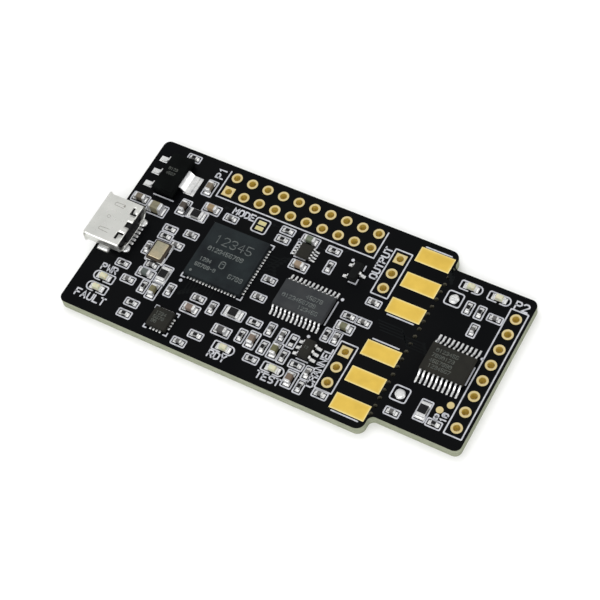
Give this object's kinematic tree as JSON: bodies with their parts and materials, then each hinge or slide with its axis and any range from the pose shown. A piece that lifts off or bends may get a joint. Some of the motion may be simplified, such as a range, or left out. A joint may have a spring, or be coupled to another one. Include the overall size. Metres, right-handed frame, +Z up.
{
  "type": "logic analyzer board",
  "caption": "Bare black circuit board of a small logic analyzer: micro-USB socket, chips, plated header holes, gold edge pads and a perforated break-away target section.",
  "frame": {"origin": "bottom of the board, at the middle of the overall box", "axes": "+X from the USB socket to the break-away target section, +Y towards the two-row header, +Z up out of the populated face"},
  "size_m": [0.0618, 0.0298, 0.0044],
  "materials": {
    "laminate": "satin black mask over glass laminate",
    "gold": "thin bright gold over nickel",
    "tinned": "bright tin or solder",
    "steel": "nickel-plated steel",
    "black_mould": "matte mould compound",
    "black_insulator": "matte mould compound",
    "resistor_black": "glazed black",
    "capacitor_tan": "fired ceramic",
    "crystal_ceramic": "fired ceramic",
    "crystal_metal": "satin",
    "led_base": "matte",
    "led_lens": "translucent resin"
  },
  "bodies": {
    "root": {"amplifier_body": "black_mould", "amplifier_leads": "tinned", "circuit_board": "laminate", "clock_chip_body": "black_mould", "clock_chip_terminals": "tinned", "controller_body": "black_mould", "controller_terminals": "tinned", "converter_body": "black_mould", "converter_leads": "tinned", "crystal_base": "crystal_ceramic", "crystal_lid": "crystal_metal", "edge_connector_pads": "gold", "expansion_header_barrels": "gold", "gate_chip_body": "black_mould", "gate_chip_leads": "tinned", "jumper_pads": "gold", "large_capacitor_bodies": "capacitor_tan", "large_capacitor_ends": "tinned", "large_resistor_bodies": "resistor_black", "large_resistor_ends": "tinned", "led_bases": "led_base", "led_ends": "gold", "led_lenses": "led_lens", "lower_port_barrels": "gold", "medium_capacitor_bodies": "capacitor_tan", "medium_capacitor_ends": "tinned", "probe_dots": "gold", "regulator_body": "black_mould", "regulator_leads": "tinned", "regulator_tab": "tinned", "small_capacitor_bodies": "capacitor_tan", "small_capacitor_ends": "tinned", "small_resistor_bodies": "resistor_black", "small_resistor_ends": "tinned", "solder_lands": "tinned", "target_chip_body": "black_mould", "target_chip_leads": "tinned", "target_header_barrels": "gold", "test_point_domes": "tinned", "transistor_body": "black_mould", "transistor_leads": "tinned", "upper_port_barrels": "gold", "usb_contacts": "gold", "usb_insulator": "black_insulator", "usb_leg_solder": "tinned", "usb_shell": "steel"}
  },
  "joints": []
}
